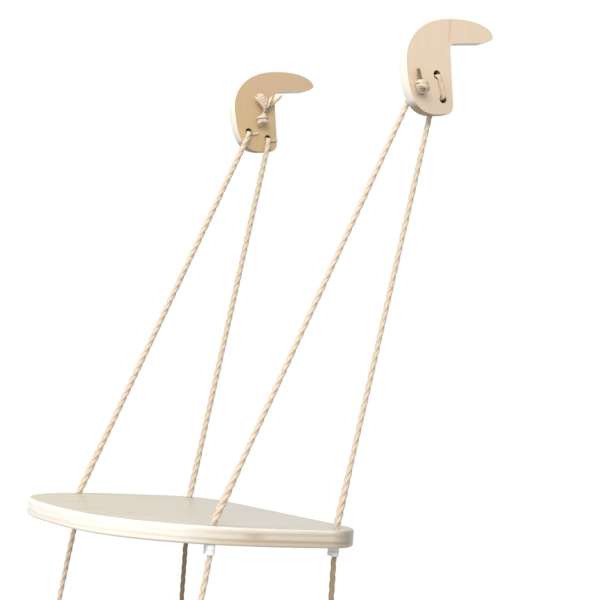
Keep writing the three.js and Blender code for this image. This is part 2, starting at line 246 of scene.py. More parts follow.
BACK_KNOT_ROUTE = [
    (0.15, 0.03, 0), (0.58, 0.15, -0.01), (1.12, 0.26, -0.01), (1.66, 0.23, -0.02),
    (2.1, -0.07, -0.03), (2.32, -0.56, -0.04), (2.23, -1.09, -0.09), (1.88, -1.5, -0.14),
    (1.37, -1.64, -0.23), (0.88, -1.49, -0.37), (0.58, -1.1, -0.58), (0.54, -0.6, -0.8),
    (0.7, -0.11, -0.96), (1.08, 0.26, -1.06), (1.6, 0.4, -1.1), (2.12, 0.25, -1.1),
    (2.48, -0.15, -1.1), (2.56, -0.68, -1.11), (2.36, -1.18, -1.13), (1.99, -1.57, -1.18),
    (1.54, -1.66, -1.44), (1.29, -1.3, -1.7), (1.34, -0.8, -1.58), (1.5, -0.61, -1.11),
    (1.47, -0.64, -0.57), (1.39, -0.67, -0.03), (1.45, -0.58, 0.5), (1.52, -0.42, 1.02),
]
# Strands unlaid at a back rope's end as (swell, painted shade near the root, route); six are
# one brushed out
STRAND_ROUTES = [
    (0.9, 0, [(1.6, -0.6, 1.7), (1.6, -1, 2.3), (1.55, -1.9, 3.1), (1.5, -3.2, 4)]),
    (1.1, 0, [(1.6, -0.6, 1.7), (1.65, -1, 2.4), (1.65, -1.7, 3.4), (1.6, -2.75, 4.6)]),
    (1.3, 0, [(1.6, -0.6, 1.7), (1.6, -0.95, 2.5), (1.6, -1.4, 3.7), (1.55, -2.2, 4.95)]),
    (1.3, 0, [(1.6, -0.6, 1.7), (1.65, -0.85, 2.5), (1.65, -1.15, 3.7), (1.65, -1.6, 4.95)]),
    (1.2, 0.1, [(1.6, -0.6, 1.7), (1.6, -0.7, 2.5), (1.6, -0.8, 3.5), (1.55, -1, 4.7)]),
    (0.9, 0.4, [(1.6, -0.6, 1.7), (1.7, -0.6, 2.4), (1.7, -0.5, 3.3), (1.65, -0.4, 4.3)]),
    (1.0, 0.7, [(1.7, -0.25, 1.7), (1.75, 0.05, 2.5), (1.75, 0.45, 3.6), (1.65, 1, 4.75)]),
    (1.5, 0.7, [(1.45, 0, 1.6), (1.4, 0.75, 2.6), (1.4, 2, 4.1), (1.3, 3.7, 5.7)]),
]
# Loose fibres beside the holes in the far hook's inner face
LOOSE_ROUTE = [(0.3, 0.6, -0.5), (0.3, 1.2, -0.35), (0.25, 1.8, -0.1), (0.2, 2.4, 0.2)]
# The knot on a rope's free end, along the rope
END_KNOT_ROUTE = [
    (0.2, 0, 0), (0.55, 0.03, -0.06), (1.01, 0.15, -0.36), (1.41, 0.07, -0.73),
    (1.82, -0.25, -0.91), (2.19, -0.65, -0.8), (2.42, -0.99, -0.44), (2.49, -1.15, 0.09),
    (2.39, -1.06, 0.62), (2.14, -0.76, 1.02), (1.81, -0.34, 1.16), (1.48, 0.09, 1.03),
    (1.18, 0.49, 0.79), (0.87, 0.86, 0.51), (0.56, 1.05, 0.1), (0.31, 0.97, -0.39),
    (0.2, 0.64, -0.81), (0.24, 0.14, -1.04), (0.44, -0.38, -1.03), (0.78, -0.75, -0.79),
    (1.15, -0.86, -0.4), (1.52, -0.68, -0.03), (1.91, -0.32, 0.12), (2.43, -0.13, 0.15),
    (3.1, -0.05, 0.1),
]

SIDES = {"far": -1, "near": 1}
ROWS = ("front", "back")

# Plies from the first face to the second as (share of the depth, share of tan); in the
# board's tables the tan at the last stop, on the lower rounding, is painted shade
FRONT_LAYER_SHARES = [
    (0, 0.12), (0.08, 0), (0.3, 0), (0.38, 0.2), (0.46, 0.02), (0.62, 0.05), (0.7, 0.38),
    (0.78, 0.1), (0.92, 0.05), (1, 0.45),
]
SIDE_LAYER_SHARES = [
    (0, 0.1), (0.12, 0.1), (0.2, 0.25), (0.28, 0.6), (0.35, 0.6), (0.43, 0.35), (0.52, 0.3),
    (0.6, 0.45), (0.68, 1), (0.76, 0.85), (0.84, 0.5), (0.93, 0.55), (1, 0.8),
]
HOOK_LAYER_SHARES = [
    (0, 0.05), (0.18, 0), (0.24, 0.15), (0.3, 0), (0.47, 0), (0.52, 0.15), (0.58, 0),
    (0.74, 0), (0.79, 0.15), (0.85, 0), (1, 0.05),
]

# The camera's directions, and the lamps as (name, place, target, power)
CAMERA_RIGHT = Vector((0.5544, 0.8279, 0.0846))
CAMERA_VIEW = Vector((-0.832, 0.5489, 0.0805))
SENSOR_WIDTH = 36
CLIP_RANGE = (0.05, 50)
LAMP_SIZE = 1.5
LAMPS = [
    ("window", (0.1, -2.7, 1.4), (0, -0.1, -0.35), 58),
    ("room", (2.3, -1.7, 1.1), (0, -0.1, -0.3), 54),
]
ROOM_LIGHT = 0.45
FLOOR_HALF = 6


class RopeSettings(bpy.types.PropertyGroup):
    """Sizes and colours of the ropes"""

    diameter: FloatProperty(
        name="Diameter", description="Rope diameter", default=6 * MM, unit="LENGTH")
    lay: FloatProperty(
        name="Lay length", description="Length in which a strand goes round once",
        default=33 * MM, unit="LENGTH")
    strand: FloatProperty(
        name="Strand", description="Diameter of a strand that has come unlaid",
        default=2.4 * MM, unit="LENGTH")
    ring_step: FloatProperty(
        name="Ring step", description="Distance between the rings of the rope's mesh",
        default=0.8 * MM, unit="LENGTH")
    light: FloatVectorProperty(
        name="Light fibre", description="Colour of the strands' crowns", subtype="COLOR",
        size=3, default=(0.69, 0.565, 0.425))
    dark: FloatVectorProperty(
        name="Dark fibre", description="Colour between the strands", subtype="COLOR",
        size=3, default=(0.60, 0.47, 0.33))
    # Painted shade: the darker fibre colour on the tails and under the board
    painted_shade: FloatVectorProperty(
        name="Worn fibre", description="Colour of the darker ends", subtype="COLOR",
        size=3, default=(0.22, 0.14, 0.05))
    # Painted light: the paler fibre colour on strands, loose fibres and the far free end
    painted_light: FloatVectorProperty(
        name="Fresh fibre", description="Colour of opened strands and loose fibres",
        subtype="COLOR", size=3, default=(0.90, 0.72, 0.57))


class WoodSettings(bpy.types.PropertyGroup):
    """Colours of the hooks' and the board's wood"""

    hook_outer: FloatVectorProperty(
        name="Hook, outer face", description="Wood of the hooks' outer faces",
        subtype="COLOR", size=3, default=(0.87, 0.70, 0.52))
    # Painted shade: a darker copy of the hooks' wood for their inner faces
    hook_inner_shade: FloatVectorProperty(
        name="Hook, inner face", description="Wood of the hooks' inner faces",
        subtype="COLOR", size=3, default=(0.70, 0.50, 0.31))
    # Painted shade: the inner faces' wood darker still towards the bottom
    hook_low_shade: FloatVectorProperty(
        name="Hook, inner face below", description="Wood of the inner faces' lower part",
        subtype="COLOR", size=3, default=(0.675, 0.50, 0.275))
    veneer: FloatVectorProperty(
        name="Veneer", description="Wood of the board's top and underside",
        subtype="COLOR", size=3, default=(0.635, 0.565, 0.425))
    # Painted reflection: a greyer tone at the back right stands in for the room in the varnish
    veneer_reflection: FloatVectorProperty(
        name="Grey veneer", description="Greyer wood at the board's back right",
        subtype="COLOR", size=3, default=(0.605, 0.565, 0.49))
    ply_pale: FloatVectorProperty(
        name="Pale ply", description="Plies whose grain runs along the edge",
        subtype="COLOR", size=3, default=(0.87, 0.83, 0.75))
    ply_tan: FloatVectorProperty(
        name="Tan ply", description="Cut ends of the plies that lie across",
        subtype="COLOR", size=3, default=(0.53, 0.40, 0.245))
    # Painted shade on the edge round the back corners
    ply_shade: FloatVectorProperty(
        name="Grey ply", description="Edge round the board's back corners",
        subtype="COLOR", size=3, default=(0.30, 0.27, 0.18))


class TieSettings(bpy.types.PropertyGroup):
    """Colour of the cable ties"""

    colour: FloatVectorProperty(
        name="Nylon", description="Colour of the ties", subtype="COLOR", size=3,
        default=(0.96, 0.96, 0.95))


class StageSettings(bpy.types.PropertyGroup):
    """The camera and the floor"""

    camera_place: FloatVectorProperty(
        name="Camera", description="Where the camera stands", subtype="XYZ", size=3,
        unit="LENGTH", default=(1.2814, -0.8898, -0.4039))
    lens: FloatProperty(
        name="Focal length", description="Focal length in millimetres", default=79.8)
    floor_drop: FloatProperty(
        name="Floor", description="Depth of the floor below the object's lowest point",
        default=250 * MM, unit="LENGTH")


# Curves and routes


def hook_point(hole, x):
    """A point of the upright hook's plate, once the hook is tilted."""
    setback, drop = hole
    point = Vector((0, -setback, -drop))
    point.rotate(Matrix.Rotation(HOOK_TILT, 3, "X"))
    return Vector((x, point.y, point.z))


def smooth_line(points, step, finer=4):
    """Points a step apart on a smooth line through the given points."""
    ends = [2 * points[0] - points[1], *points, 2 * points[-1] - points[-2]]
    line = []
    for a, b, c, d in zip(ends, ends[1:], ends[2:], ends[3:]):
        t1 = (b - a).length ** 0.5
        t2 = t1 + (c - b).length ** 0.5
        t3 = t2 + (d - c).length ** 0.5
        count = max(2, round((c - b).length / step * finer))
        for i in range(count):
            t = t1 + (t2 - t1) * i / count
            ab = a * (t1 - t) / t1 + b * t / t1
            bc = b * (t2 - t) / (t2 - t1) + c * (t - t1) / (t2 - t1)
            cd = c * (t3 - t) / (t3 - t2) + d * (t - t2) / (t3 - t2)
            abc = ab * (t2 - t) / t2 + bc * t / t2
            bcd = bc * (t3 - t) / (t3 - t1) + cd * (t - t1) / (t3 - t1)
            line.append(abc * (t2 - t) / (t2 - t1) + bcd * (t - t1) / (t2 - t1))
    line.append(points[-1].copy())
    return spaced(line, step)


def distances(line):
    """How far along a line each of its points is."""
    along = [0.0]
    for a, b in zip(line, line[1:]):
        along.append(along[-1] + (b - a).length)
    return along


def spaced(line, step):
    """The same line with its points an even step apart."""
    along = distances(line)
    count = max(1, round(along[-1] / step))
    result, k = [], 0
    for i in range(count + 1):
        s = along[-1] * i / count
        while k < len(line) - 2 and along[k + 1] < s:
            k += 1
        share = (s - along[k]) / max(along[k + 1] - along[k], 1e-12)
        result.append(line[k].lerp(line[k + 1], min(share, 1)))
    return result


def corner(start, middle, end, count=6):
    """Points on a round corner."""
    return [
        start * (1 - t) ** 2 + middle * 2 * t * (1 - t) + end * t * t
        for t in (i / count for i in range(count + 1))
    ]


def placed(route, origin, facing, diameter):
    """A knot's route on a plate that faces +X or -X."""
    return [
        origin + Vector((facing * x, facing * y, z)) * diameter for x, y, z in route
    ]


def front_head(side, diameter):
    """A front rope's knot on the hook's outer face, from its tail to the hole."""
    origin = hook_point(HOOK_HOLES["front"], side * OUTER_FACE)
    route = [
        (x, y - KNOT_SHIFT * min(x, 1), KNOT_LEVEL + (z - KNOT_LEVEL) * KNOT_SQUASH_SHARE)
        for x, y, z in FRONT_KNOT_ROUTE
    ]
    return placed(route, origin, side, diameter * KNOT_SHARE)[::-1] + [origin]


def back_head(side, diameter):
    """A back rope's knot on the hook's inner face, and its way over the outer face."""
    origin = hook_point(HOOK_HOLES["end"], side * INNER_FACE)
    knot = placed(BACK_KNOT_ROUTE, origin, -side, diameter * KNOT_SHARE)
    over = side * (OUTER_FACE + WRAP_OFFSET)
    upper = hook_point(HOOK_HOLES["end"], over)
    lower = hook_point(HOOK_HOLES["back"], over)
    play = (lower - upper).normalized() * HOLE_PLAY
    upper, lower = upper + play, lower - play
    reach = WRAP_OFFSET / (lower - upper).length
    inward = Vector((-side * WRAP_OFFSET, 0, 0))
    leaving = corner(upper + inward, upper, upper.lerp(lower, reach))
    entering = corner(lower.lerp(upper, reach), lower, lower + inward)
    return knot[::-1] + [origin] + leaving + entering


def free_end(foot, row, diameter):
    """A rope's end below the board, with its knot."""
    held = foot - UP * (BOARD_THICKNESS + HELD_DROP)
    fall = FREE_LENGTH - (foot.z - held.z)
    end = held + Vector((0, FREE_LEAN_SHARES[row] * fall, -fall))
    down = (end - held).normalized()
    across = Vector((1, 0, 0))
    aside = down.cross(across)
    knot = [
        end + (down * x + across * y + aside * z) * diameter
        for x, y, z in END_KNOT_ROUTE
    ]
    return [held, held.lerp(end, 0.5), end] + knot


def rope_route(side, row, diameter):
    """One rope from its end at the hook to its end below the board."""
    head = front_head(side, diameter) if row == "front" else back_head(side, diameter)
    foot = Vector((side * BOARD_HOLE_X, BOARD_HOLE_Y[row], BOARD_TOP))
    top = hook_point(HOOK_HOLES[row], side * (INNER_FACE - TURN_OFFSET))
    length = (foot - top).length
    pull = (foot - top).normalized()
    sunk = Vector((0, pull.y, pull.z)) * HOLE_PLAY
    leave = hook_point(HOOK_HOLES[row], side * INNER_FACE) + sunk
    body = corner(leave, top + sunk, top.lerp(foot, (TURN_OFFSET + HOLE_PLAY) / length))
    body += [top.lerp(foot, share) for share in (0.25, 0.5, 0.75)]
    body += corner(top.lerp(foot, 1 - FOOT_LEAD / length), foot, foot - UP * FOOT_DROP)
    return head + body + free_end(foot, row, diameter)


def past_hook(point, hole, side):
    """Whether the rope has come through its last hole in the hook."""
    centre = hook_point(hole, side * INNER_FACE)
    near_hole = (point.yz - centre.yz).length < HOOK_HOLE_WIDTH / 2
    return near_hole and side * point.x < INNER_FACE + HOLE_ENTRY


def first_index(line, test, start=0):
    """The index of a line's first point, from start on, that passes a test."""
    for i in range(start, len(line)):
        if test(line[i]):
            return i
    raise ValueError("no point of the rope passes the test")


def strand_routes(side, diameter):
    """The strands that come unlaid at the end of a back rope, up from its knot."""
    origin = hook_point(HOOK_HOLES["end"], side * INNER_FACE)
    # They begin inside the knot, on the last points of its route
    root = placed(BACK_KNOT_ROUTE[-3:-1], origin, -side, diameter * KNOT_SHARE)
    return [
        (swell, painted_shading, root + placed(route, origin, -side, diameter))
        for swell, painted_shading, route in STRAND_ROUTES
    ]


def smooth_step(value, low, high):
    """0 at low and 1 at high, with a soft change between; low may be the greater."""
    share = min(max((value - low) / (high - low), 0), 1)
    return share * share * (3 - 2 * share)


def rope_shares(line, side, row):
    """The rope's thickness along its line as shares: thin where it is drawn tight."""
    along = distances(line)
    if row == "front":
        entry = first_index(line, lambda p: side * p.x < OUTER_FACE)
    else:
        entry = first_index(line, lambda p: side * p.x > INNER_FACE)
    stretch = NEAR_BODY_SHARE if side > 0 else FAR_BODY_SHARE
    shares = []
    for place, s in zip(line, along):
        passed = s - along[entry]
        height = place.z - BOARD_TOP
        foot = smooth_step(height, *FOOT_FADE) * smooth_step(height, *FOOT_RISE)
        body = stretch if height > 0 else 1
        body += (FOOT_SHARE - stretch) * foot
        if row == "front":
            share = TAIL_SHARE + (KNOT_SHARE - TAIL_SHARE) * smooth_step(s, *TAIL_CHANGE)
            share += (body - KNOT_SHARE) * smooth_step(passed, *FRONT_BODY_CHANGE)
        else:
            share = KNOT_SHARE + (WRAP_SHARE - KNOT_SHARE) * smooth_step(passed, *WRAP_CHANGE)
            share += (body - WRAP_SHARE) * smooth_step(passed, *BACK_BODY_CHANGE)
        share += SLOW_WAVE[0] * math.sin(s / SLOW_WAVE[1])
        share += QUICK_WAVE[0] * math.sin(s / QUICK_WAVE[1] + side)
        shares.append(share)
    return shares


def rope_painted_shading(line, side, row):
    """How much painted shade (or, below 0, painted light) the rope's fibres get along its line."""
    shares = []
    for place, s in zip(line, distances(line)):
        below = smooth_step(BOARD_TOP - place.z, *FREE_CHANGE)
        if row == "back":
            # Painted shade on the back ropes' free ends under the board
            shares.append(BACK_FREE_SHADE_SHARE * below)
        else:
            # Painted light on the far front free end
            painted_light = FAR_FREE_LIGHT_SHARE * below if side < 0 else 0
            # Painted shade on a front rope's tail at the hook
            shares.append(smooth_step(s, *TAIL_SHADE_CHANGE) - painted_light)
    return shares


# Rope meshes


def laid_profile(diameter, count):
    """The outline of three strands laid together."""
    curve = bpy.data.curves.new("rope_profile", "CURVE")
    curve.dimensions = "2D"
    spline = curve.splines.new("POLY")
    spline.points.add(count - 1)
    radius = diameter / 2
    offset, lobe = LOBE_OFFSET_SHARE * radius, LOBE_SHARE * radius
    for i, point in enumerate(spline.points):
        angle = 2 * math.pi * i / count
        off = (angle + math.pi / 3) % (2 * math.pi / 3) - math.pi / 3
        reach = offset * math.cos(off) + math.sqrt(lobe**2 - (offset * math.sin(off)) ** 2)
        point.co = (reach * math.cos(angle), reach * math.sin(angle), 0, 1)
    spline.use_cyclic_u = True
    return bpy.data.objects.new("rope_profile", curve)


def laid_mesh(line, diameter, lay, shares, count=ROPE_POINTS):
    """A laid rope along a line, as a mesh whose rings are in order and whose ends are open."""
    profile = laid_profile(diameter, count)
    curve = bpy.data.curves.new("rope_line", "CURVE")
    curve.dimensions = "3D"
    curve.bevel_mode = "OBJECT"
    curve.bevel_object = profile
    curve.use_fill_caps = False
    curve.twist_mode = "MINIMUM"
    spline = curve.splines.new("POLY")
    spline.points.add(len(line) - 1)
    for point, place, share, s in zip(spline.points, line, shares, distances(line)):
        point.co = (*place, 1)
        point.tilt = 2 * math.pi * s / lay
        point.radius = share
    obj = bpy.data.objects.new("rope_line", curve)
    bpy.context.scene.collection.objects.link(obj)
    bpy.context.view_layer.update()
    mesh = bpy.data.meshes.new_from_object(
        obj.evaluated_get(bpy.context.evaluated_depsgraph_get()))
    bpy.data.objects.remove(obj)
    bpy.data.objects.remove(profile)
    return mesh


def add_lay(mesh, line, painted_shading, count=ROPE_POINTS):
    """Gives each vertex its place round and along the rope, and its painted shade (or, below 0,
    painted light).
    """
    mesh.attributes.new("lay", "FLOAT_VECTOR", "POINT")
    mesh.attributes.new("painted_shading", "FLOAT", "POINT")
    places, shares = mesh.attributes["lay"].data, mesh.attributes["painted_shading"].data
    for i, s in enumerate(distances(line)):
        for j in range(count):
            angle = 2 * math.pi * j / count
            places[i * count + j].vector = (math.cos(angle), math.sin(angle), s / MM)
            shares[i * count + j].value = painted_shading[i]


def rope_part(mesh, name, low, high):
    """The rings from low to high of a whole rope's mesh, closed at both ends, as an object."""
    bm = bmesh.new()
    bm.from_mesh(mesh)
    bm.verts.ensure_lookup_table()
    kept = range(low * ROPE_POINTS, (high + 1) * ROPE_POINTS)
    gone = [v for v in bm.verts if v.index not in kept]
    bmesh.ops.delete(bm, geom=gone, context="VERTS")
    close_ends(bm)
    for face in bm.faces:
        face.smooth = len(face.verts) == 4
    part = bpy.data.meshes.new(name)
    bm.to_mesh(part)
    bm.free()
    return add_object(name, part)


def close_ends(bm):
    """Fills the open ends of tubes."""
    edges = [e for e in bm.edges if e.is_boundary]
    if edges:
        bmesh.ops.edgeloop_fill(bm, edges=edges)


def add_object(name, mesh, material=None):
    """Puts a mesh in the scene, with its only material where one is given."""
    obj = bpy.data.objects.new(name, mesh)
    bpy.context.scene.collection.objects.link(obj)
    if material:
        mesh.materials.clear()
        mesh.materials.append(material)
    return obj


# Materials


def new_material(name):
    """A material with its nodes, its links and its shader."""
    material = bpy.data.materials.new(name)
    material.use_nodes = True
    nodes, links = material.node_tree.nodes, material.node_tree.links
    return material, nodes, links, nodes["Principled BSDF"]


def ramp(nodes, links, value, stops):
    """The colour for a value on a ramp of (place, colour) stops."""
    node = nodes.new("ShaderNodeValToRGB")
    elements = node.color_ramp.elements
    elements[0].position, elements[0].color = stops[0][0], (*stops[0][1], 1)
    elements[1].position, elements[1].color = stops[-1][0], (*stops[-1][1], 1)
    for position, colour in stops[1:-1]:
        elements.new(position).color = (*colour, 1)
    links.new(value, node.inputs["Fac"])
    return node.outputs["Color"]


def seen_directly(nodes, links):
    """1 for rays from the camera, from mirrors and through glass, else 0."""
    path = nodes.new("ShaderNodeLightPath")
    result = path.outputs["Is Camera Ray"]
    for ray in ("Is Glossy Ray", "Is Transmission Ray"):
        result = combined(nodes, links, "MAXIMUM", result, path.outputs[ray])
    return result


def rope_material(settings):
    """Twisted fibres that follow the lay, darkened by painted shade or paled by painted light as the
    mesh's attribute says.
    """
    material, nodes, links, shader = new_material("laid rope")
    place = stretched(nodes, links, attribute(nodes, "lay")["Vector"], scale=(6, 6, 0.22))
    fibres = noise(nodes, links, place, scale=1.6, detail=6)
    colours = [(0.32, settings.dark), (0.5, settings.light), (0.8, settings.light)]
    painted_shading = attribute(nodes, "painted_shading")["Fac"]
    # Painted light pales the fibres where the attribute is below 0, and painted shade darkens them
    # above
    painted_light = spread(nodes, links, painted_shading, 0, -1)
    fibre = mixed(nodes, links, painted_light, ramp(nodes, links, fibres, colours), settings.painted_light)
    links.new(mixed(nodes, links, painted_shading, fibre, settings.painted_shade), shader.inputs["Base Color"])
    add_bump(nodes, links, shader, fibres, strength=0.28, depth=0.25 * MM)
    shader.inputs["Roughness"].default_value = 0.85
    shader.inputs["Sheen Weight"].default_value = 0.25
    shader.inputs["Sheen Roughness"].default_value = 0.5
    return material


def attribute(nodes, name):
    """The outputs for one of the mesh's attributes."""
    node = nodes.new("ShaderNodeAttribute")
    node.attribute_name = name
    return node.outputs


def stretched(nodes, links, place, scale):
    """A place with each of its axes scaled."""
    node = nodes.new("ShaderNodeMapping")
    node.inputs["Scale"].default_value = scale
    links.new(place, node.inputs["Vector"])
    return node.outputs["Vector"]


def noise(nodes, links, place, scale, detail, distortion=0):
    """Noise at a place, from 0 to 1."""
    node = nodes.new("ShaderNodeTexNoise")
    node.inputs["Scale"].default_value = scale
    node.inputs["Detail"].default_value = detail
    node.inputs["Distortion"].default_value = distortion
    links.new(place, node.inputs["Vector"])
    return node.outputs["Fac"]


def grain_nodes(nodes, links, scale, distortion):
    """The object's coordinates, and grain that is long along the axis of the least scale."""
    coords = nodes.new("ShaderNodeTexCoord").outputs["Object"]
    place = stretched(nodes, links, coords, scale)
    return coords, noise(nodes, links, place, scale=1, detail=8, distortion=distortion)


def mixed(nodes, links, factor, first, second):
    """A colour between two colours or colour sockets."""
    mix = nodes.new("ShaderNodeMix")
    mix.data_type = "RGBA"
    for socket, value in ((mix.inputs[0], factor), (mix.inputs[6], first), (mix.inputs[7], second)):
        if isinstance(value, bpy.types.NodeSocket):
            links.new(value, socket)
        elif isinstance(value, (float, int)):
            socket.default_value = value
        else:
            socket.default_value = (*value, 1)
    return mix.outputs[2]


def spread(nodes, links, value, low, high, to_low=0.0, to_high=1.0):
    """A value carried from one range to another, and held at its ends."""
    node = nodes.new("ShaderNodeMapRange")
    node.inputs["From Min"].default_value = low
    node.inputs["From Max"].default_value = high
    node.inputs["To Min"].default_value = to_low
    node.inputs["To Max"].default_value = to_high
    links.new(value, node.inputs["Value"])
    return node.outputs["Result"]


def combined(nodes, links, operation, *values):
    """The result of an operation on values or sockets."""
    node = nodes.new("ShaderNodeMath")
    node.operation = operation
    for socket, value in zip(node.inputs, values):
        if isinstance(value, bpy.types.NodeSocket):
            links.new(value, socket)
        else:
            socket.default_value = value
    return node.outputs["Value"]


def away_from(nodes, links, value, centre):
    """How far a value is from a centre."""
    return combined(
        nodes, links, "ABSOLUTE", combined(nodes, links, "SUBTRACT", value, centre))


def faded(nodes, links, value, low, high, strength=1):
    """A strength that fades to 0 as a value goes from low to high."""
    return spread(nodes, links, value, low, high, to_low=strength, to_high=0)


def add_bump(nodes, links, shader, height, strength, depth):
    """Lets the shader's surface follow a height."""
    bump = nodes.new("ShaderNodeBump")
    bump.inputs["Strength"].default_value = strength
    bump.inputs["Distance"].default_value = depth
    links.new(height, bump.inputs["Height"])
    links.new(bump.outputs["Normal"], shader.inputs["Normal"])


def object_axes(nodes, links, coords):
    """The object's own X, Y and Z at a point, as an output each."""
    split = nodes.new("ShaderNodeSeparateXYZ")
    links.new(coords, split.inputs["Vector"])
    return split.outputs["X"], split.outputs["Y"], split.outputs["Z"]


def shaded(colour, share):
    """A colour made darker, or lighter by a share above 1."""
    return tuple(channel * share for channel in colour)


def hook_face_material(settings):
    """Planed plywood, paler on outer faces, grain down the plate; darker inner faces and lower parts
    are painted shade.
    """
    material, nodes, links, shader = new_material("hook plywood face")
    coords, grain = grain_nodes(nodes, links, scale=(40, 240, 12), distortion=0.6)
    x, y, z = object_axes(nodes, links, coords)
    out = combined(nodes, links, "ABSOLUTE", x)
    outer = combined(nodes, links, "GREATER_THAN", out, (INNER_FACE + OUTER_FACE) / 2)
    # Painted shade: both faces darken towards the bottom, the inner ones more
    inner_shade = spread(nodes, links, z, *INNER_SHADE_CHANGE)
    inner_shaded_wood = mixed(nodes, links, inner_shade, settings.hook_inner_shade, settings.hook_low_shade)
    outer_shade = spread(nodes, links, z, *OUTER_SHADE_CHANGE)
    outer_shaded_wood = mixed(
        nodes, links, outer_shade, settings.hook_outer, shaded(settings.hook_outer, share=0.91))
    # Painted shade: the inner faces take the darker copy of the wood
    wood = mixed(nodes, links, outer, inner_shaded_wood, outer_shaded_wood)
    dark_wood = mixed(
        nodes, links, outer, shaded(settings.hook_inner_shade, share=0.9),
        shaded(settings.hook_outer, share=0.9))
    streaks = spread(nodes, links, grain, low=0.4, high=0.8, to_high=0.5)
    wood = mixed(nodes, links, streaks, wood, dark_wood)
    # One darker growth ring runs up the outer face from the inner corner
    beside = away_from(nodes, links, y, RING_Y)
    ring = faded(nodes, links, beside, 0, RING_HALF, strength=0.75)
    above = spread(nodes, links, z, *RING_START)
    above = combined(nodes, links, "MULTIPLY", above, outer)
    ring = combined(nodes, links, "MULTIPLY", ring, above)
    links.new(mixed(nodes, links, ring, wood, RING_WOOD), shader.inputs["Base Color"])
    add_bump(nodes, links, shader, grain, strength=0.12, depth=0.2 * MM)
    shader.inputs["Roughness"].default_value = 0.6
    return material


def ply_layers(nodes, links, depth, layers, settings):
    """Plies through a plate, between the pale and the tan ply's colour."""
    pale, tan = settings.ply_pale, settings.ply_tan
    return ramp(nodes, links, depth, [
        (place, tuple(p + (t - p) * share for p, t in zip(pale, tan)))
        for place, share in layers])


def hook_edge_material(name, low, high, settings):
    """Plies across a hook's edge, with the end grain's faint streaks."""
    material, nodes, links, shader = new_material(name)
    coords, grain = grain_nodes(nodes, links, scale=(500, 30, 30), distortion=0.5)
    x, _, z = object_axes(nodes, links, coords)
    depth = spread(nodes, links, x, low, high)
    plies = ply_layers(nodes, links, depth, HOOK_LAYER_SHARES, settings)
    # Painted shade: the heel is darker tan where the plate turns to face down
    heel_shade = spread(nodes, links, z, *HEEL_SHADE_CHANGE)
    plies = mixed(nodes, links, heel_shade, plies, shaded(settings.ply_tan, share=0.8))
    streaks = spread(nodes, links, grain, low=0.45, high=0.8, to_high=0.3)
    links.new(mixed(nodes, links, streaks, plies, shaded(settings.ply_pale, share=0.8)),
              shader.inputs["Base Color"])
    shader.inputs["Roughness"].default_value = 0.5
    return material


def board_edge_material(settings):
    """Plies across the board's varnished edge: pale in front, tan end grain at the sides, painted
    shade at the back corners and lower rounding.
    """
    material, nodes, links, shader = new_material("board plies")
    coords, grain = grain_nodes(nodes, links, scale=(22, 22, 420), distortion=0.35)
    x, y, z = object_axes(nodes, links, coords)
    wave = noise(nodes, links, coords, scale=14, detail=2)
    bend = spread(nodes, links, wave, low=0.3, high=0.7, to_low=-0.05, to_high=0.05)
    depth = combined(
        nodes, links, "ADD", bend, spread(nodes, links, z, BOARD_HIGH.z, BOARD_LOW.z))
    front = ply_layers(nodes, links, depth, FRONT_LAYER_SHARES, settings)
    side = ply_layers(nodes, links, depth, SIDE_LAYER_SHARES, settings)
    turned = spread(nodes, links, combined(nodes, links, "ABSOLUTE", x), *SIDE_CHANGE)
    plies = mixed(nodes, links, turned, front, side)
    # A tan patch in the plies on the near side
    beside = away_from(nodes, links, y, PATCH_Y)
    patch = faded(nodes, links, beside, 0, PATCH_HALF, strength=0.7)
    near = combined(nodes, links, "GREATER_THAN", x, 0)
    patch = combined(nodes, links, "MULTIPLY", patch, near)
    off_middle = away_from(nodes, links, depth, PATCH_DEPTH_SHARE)
    within = faded(nodes, links, off_middle, *PATCH_FADE_SHARES)
    patch = combined(nodes, links, "MULTIPLY", patch, within)
    plies = mixed(nodes, links, patch, plies, settings.ply_tan)
    # Painted shade greys the edge round the back corners
    rear_shade = spread(nodes, links, y, *REAR_SHADE_CHANGE, to_high=0.85)
    plies = mixed(nodes, links, rear_shade, plies, settings.ply_shade)
    streaks = spread(nodes, links, grain, low=0.45, high=0.8)
    strength = spread(nodes, links, turned, low=0, high=1, to_low=0.25, to_high=0.55)
    streaks = combined(nodes, links, "MULTIPLY", streaks, strength)
    links.new(mixed(nodes, links, streaks, plies, shaded(settings.ply_tan, share=1.3)),
              shader.inputs["Base Color"])
    shader.inputs["Roughness"].default_value = 0.35
    shader.inputs["Coat Weight"].default_value = 0.3
    shader.inputs["Coat Roughness"].default_value = 0.2
    return material


def veneer_material(settings):
    """Varnished veneer with its grain from front to back, greyer at the back right as a painted
    reflection.
    """
    material, nodes, links, shader = new_material("varnished veneer")
    coords, grain = grain_nodes(nodes, links, scale=(110, 6, 60), distortion=0.7)
    x, y, _ = object_axes(nodes, links, coords)
    # A painted reflection greys the veneer towards the back right
    across = combined(nodes, links, "MULTIPLY_ADD", x, REFLECTION_SLOPE, y)
    reflection = spread(nodes, links, across, *REFLECTION_CHANGE)
    wood = mixed(nodes, links, reflection, settings.veneer, settings.veneer_reflection)
    streaks = spread(nodes, links, grain, low=0.4, high=0.75, to_high=0.6)
    wood = mixed(nodes, links, streaks, wood, shaded(settings.veneer, share=0.84))
    # One small dark speck in the veneer
    beside = away_from(nodes, links, x, SPECK_X)
    before = combined(
        nodes, links, "MULTIPLY", away_from(nodes, links, y, SPECK_Y), SPECK_STRETCH_SHARE)
    away = combined(nodes, links, "ADD", beside, before)
    speck = faded(nodes, links, away, *SPECK_FADE, strength=0.85)
    links.new(
        mixed(nodes, links, speck, wood, shaded(settings.ply_tan, share=0.4)),
        shader.inputs["Base Color"])
    shader.inputs["Roughness"].default_value = 0.4
    shader.inputs["Specular IOR Level"].default_value = 0.35
    return material


